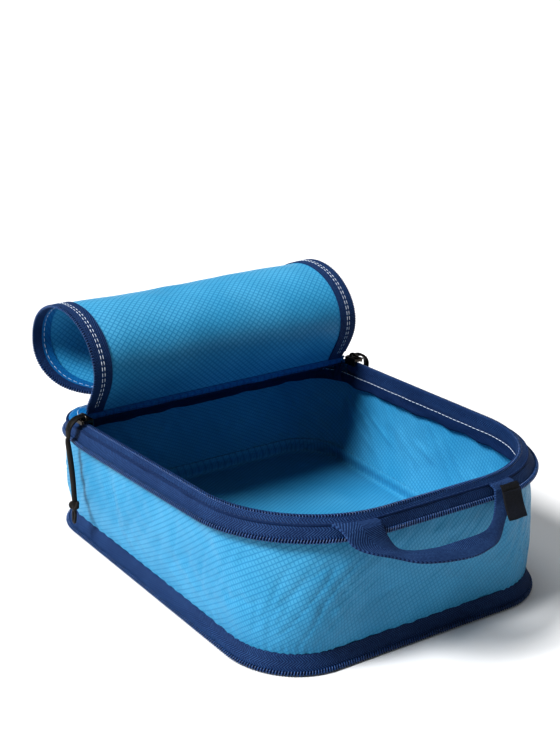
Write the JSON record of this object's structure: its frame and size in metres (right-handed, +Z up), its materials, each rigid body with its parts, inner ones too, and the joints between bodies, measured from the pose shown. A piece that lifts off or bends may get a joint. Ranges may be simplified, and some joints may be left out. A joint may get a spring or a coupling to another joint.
{
  "type": "packing cube",
  "caption": "Small soft travel packing cube with a main zip lid rolled open at the rear, a compression zip round the walls, a webbing handle and two corded zip pulls",
  "frame": {"origin": "middle of the base's underside, on the surface it stands on", "axes": "+X across the bag to its right side, +Y from the handle at the front to the lid's hinge at the rear, +Z up"},
  "size_m": [0.199, 0.261, 0.1152],
  "materials": {
    "ripstop": "thin light-blue ripstop nylon with a fine woven grid, slight sheen",
    "navy_tape": "navy woven polyester zip tape, twill, matte",
    "navy_coil": "navy nylon zip coil, fine ribs across",
    "webbing": "navy herringbone webbing, matte",
    "black_metal": "black lacquered die-cast metal, satin",
    "black_rubber": "black moulded rubber, satin",
    "black_cord": "black braided cord, matte",
    "label": "black woven label, matte, plain"
  },
  "bodies": {
    "base": {"base_panel": "ripstop", "lower_compression_tape": "navy_tape", "lower_compression_coil": "navy_coil", "gusset": "ripstop"},
    "rim": {"upper_compression_tape": "navy_tape", "upper_compression_coil": "navy_coil", "rim_zip_tape": "navy_tape", "rim_zip_coil": "navy_coil", "rim_seam_binding": "navy_tape", "back_strip": "ripstop", "lid_hinge_binding": "navy_tape", "corner_binding_left": "navy_tape", "corner_binding_right": "navy_tape"},
    "lid_01": {"lid_panel_01": "ripstop", "lid_zip_left_01": "navy_tape", "lid_zip_right_01": "navy_tape"},
    "lid_02": {"lid_panel_02": "ripstop", "lid_zip_left_02": "navy_tape", "lid_zip_right_02": "navy_tape"},
    "lid_03": {"lid_panel_03": "ripstop", "lid_zip_left_03": "navy_tape", "lid_zip_right_03": "navy_tape"},
    "lid_04": {"lid_panel_04": "ripstop", "lid_zip_left_04": "navy_tape", "lid_zip_right_04": "navy_tape"},
    "lid_05": {"lid_panel_05": "ripstop", "lid_zip_left_05": "navy_tape", "lid_zip_right_05": "navy_tape"},
    "lid_06": {"lid_panel_06": "ripstop", "lid_zip_left_06": "navy_tape", "lid_zip_right_06": "navy_tape"},
    "lid_07": {"lid_panel_07": "ripstop", "lid_zip_left_07": "navy_tape", "lid_zip_right_07": "navy_tape"},
    "lid_08": {"lid_panel_08": "ripstop", "lid_zip_left_08": "navy_tape", "lid_zip_right_08": "navy_tape"},
    "lid_09": {"lid_panel_09": "ripstop", "lid_zip_left_09": "navy_tape", "lid_zip_right_09": "navy_tape"},
    "lid_10": {"lid_panel_10": "ripstop", "lid_zip_left_10": "navy_tape", "lid_zip_right_10": "navy_tape"},
    "lid_11": {"lid_panel_11": "ripstop", "lid_zip_front": "navy_tape"},
    "zip_slider_left": {"slider_left": "black_metal"},
    "zip_pull_left": {"pull_left": "black_rubber", "pull_cord_left": "black_cord", "pull_knot_left": "black_cord"},
    "zip_slider_right": {"slider_right": "black_metal"},
    "zip_pull_right": {"pull_right": "black_rubber", "pull_cord_right": "black_cord", "pull_knot_right": "black_cord"},
    "handle": {"handle_webbing": "webbing", "label_tag": "label"},
    "lower_slider": {"compression_slider": "black_metal"},
    "lower_pull": {"compression_pull": "black_rubber"}
  },
  "joints": [
    {"name": "compress", "type": "hinge", "parent": "base", "child": "rim", "pos_m": [0, 0.7179, 0.045], "axis": [1, 0, 0], "range_deg": [0, 3.83], "deforming": ["gusset"]},
    {"name": "lid_fold_01", "type": "hinge", "parent": "rim", "child": "lid_01", "pos_m": [0, 0.0755, 0.06624], "axis": [1, 0, 0], "range_deg": [0, 59.97]},
    {"name": "lid_fold_02", "type": "hinge", "parent": "lid_01", "child": "lid_02", "pos_m": [0, 0.06844, 0.08059], "axis": [1, 0, 0], "range_deg": [0, 23.04]},
    {"name": "lid_fold_03", "type": "hinge", "parent": "lid_02", "child": "lid_03", "pos_m": [0, 0.06758, 0.09621], "axis": [1, 0, 0], "range_deg": [0, 41.02]},
    {"name": "lid_fold_04", "type": "hinge", "parent": "lid_03", "child": "lid_04", "pos_m": [0, 0.07723, 0.10864], "axis": [1, 0, 0], "range_deg": [0, 30.11]},
    {"name": "lid_fold_05", "type": "hinge", "parent": "lid_04", "child": "lid_05", "pos_m": [0, 0.09195, 0.11459], "axis": [1, 0, 0], "range_deg": [0, 23.32]},
    {"name": "lid_fold_06", "type": "hinge", "parent": "lid_05", "child": "lid_06", "pos_m": [0, 0.10784, 0.11424], "axis": [1, 0, 0], "range_deg": [0, 23.7]},
    {"name": "lid_fold_07", "type": "hinge", "parent": "lid_06", "child": "lid_07", "pos_m": [0, 0.12222, 0.10754], "axis": [1, 0, 0], "range_deg": [0, 31.37]},
    {"name": "lid_fold_08", "type": "hinge", "parent": "lid_07", "child": "lid_08", "pos_m": [0, 0.13093, 0.09446], "axis": [1, 0, 0], "range_deg": [0, 42.51]},
    {"name": "lid_fold_09", "type": "hinge", "parent": "lid_08", "child": "lid_09", "pos_m": [0, 0.12853, 0.07905], "axis": [1, 0, 0], "range_deg": [0, 38.76]},
    {"name": "lid_fold_10", "type": "hinge", "parent": "lid_09", "child": "lid_10", "pos_m": [0, 0.11687, 0.0684], "axis": [1, 0, 0], "range_deg": [0, 27.36]},
    {"name": "lid_fold_11", "type": "hinge", "parent": "lid_10", "child": "lid_11", "pos_m": [0, 0.10153, 0.06428], "axis": [1, 0, 0], "range_deg": [0, 22.75]},
    {"name": "slide_left", "type": "slide", "parent": "rim", "child": "zip_slider_left", "axis": [0, -0.9978, 0.0669], "range_m": [0, 0.105]},
    {"name": "pull_swing_left", "type": "hinge", "parent": "zip_slider_left", "child": "zip_pull_left", "pos_m": [-0.0874, 0.0695, 0.06824], "axis": [0, 1, 0], "range_deg": [0, 120]},
    {"name": "slide_right", "type": "slide", "parent": "rim", "child": "zip_slider_right", "axis": [0, -0.9978, 0.0669], "range_m": [0, 0.105]},
    {"name": "pull_swing_right", "type": "hinge", "parent": "zip_slider_right", "child": "zip_pull_right", "pos_m": [0.0874, 0.0695, 0.06824], "axis": [0, -1, 0], "range_deg": [0, 120]},
    {"name": "handle_swing", "type": "hinge", "parent": "rim", "child": "handle", "pos_m": [0, -0.106, 0.0722], "axis": [-1, 0, 0], "range_deg": [0, 150]},
    {"name": "lower_slide", "type": "slide", "parent": "base", "child": "lower_slider", "axis": [1, 0, 0], "range_m": [-0.055, 0.055]},
    {"name": "lower_pull_lift", "type": "hinge", "parent": "lower_slider", "child": "lower_pull", "pos_m": [0, 0.1053, 0.0012], "axis": [1, 0, 0], "range_deg": [0, 90]}
  ],
  "couplings": [
    {"joint": "lid_fold_02", "follows": "lid_fold_01", "ratio": 0.38413},
    {"joint": "lid_fold_03", "follows": "lid_fold_01", "ratio": 0.6839},
    {"joint": "lid_fold_04", "follows": "lid_fold_01", "ratio": 0.50203},
    {"joint": "lid_fold_05", "follows": "lid_fold_01", "ratio": 0.38875},
    {"joint": "lid_fold_06", "follows": "lid_fold_01", "ratio": 0.39516},
    {"joint": "lid_fold_07", "follows": "lid_fold_01", "ratio": 0.52307},
    {"joint": "lid_fold_08", "follows": "lid_fold_01", "ratio": 0.70879},
    {"joint": "lid_fold_09", "follows": "lid_fold_01", "ratio": 0.64617},
    {"joint": "lid_fold_10", "follows": "lid_fold_01", "ratio": 0.45618},
    {"joint": "lid_fold_11", "follows": "lid_fold_01", "ratio": 0.37923}
  ]
}
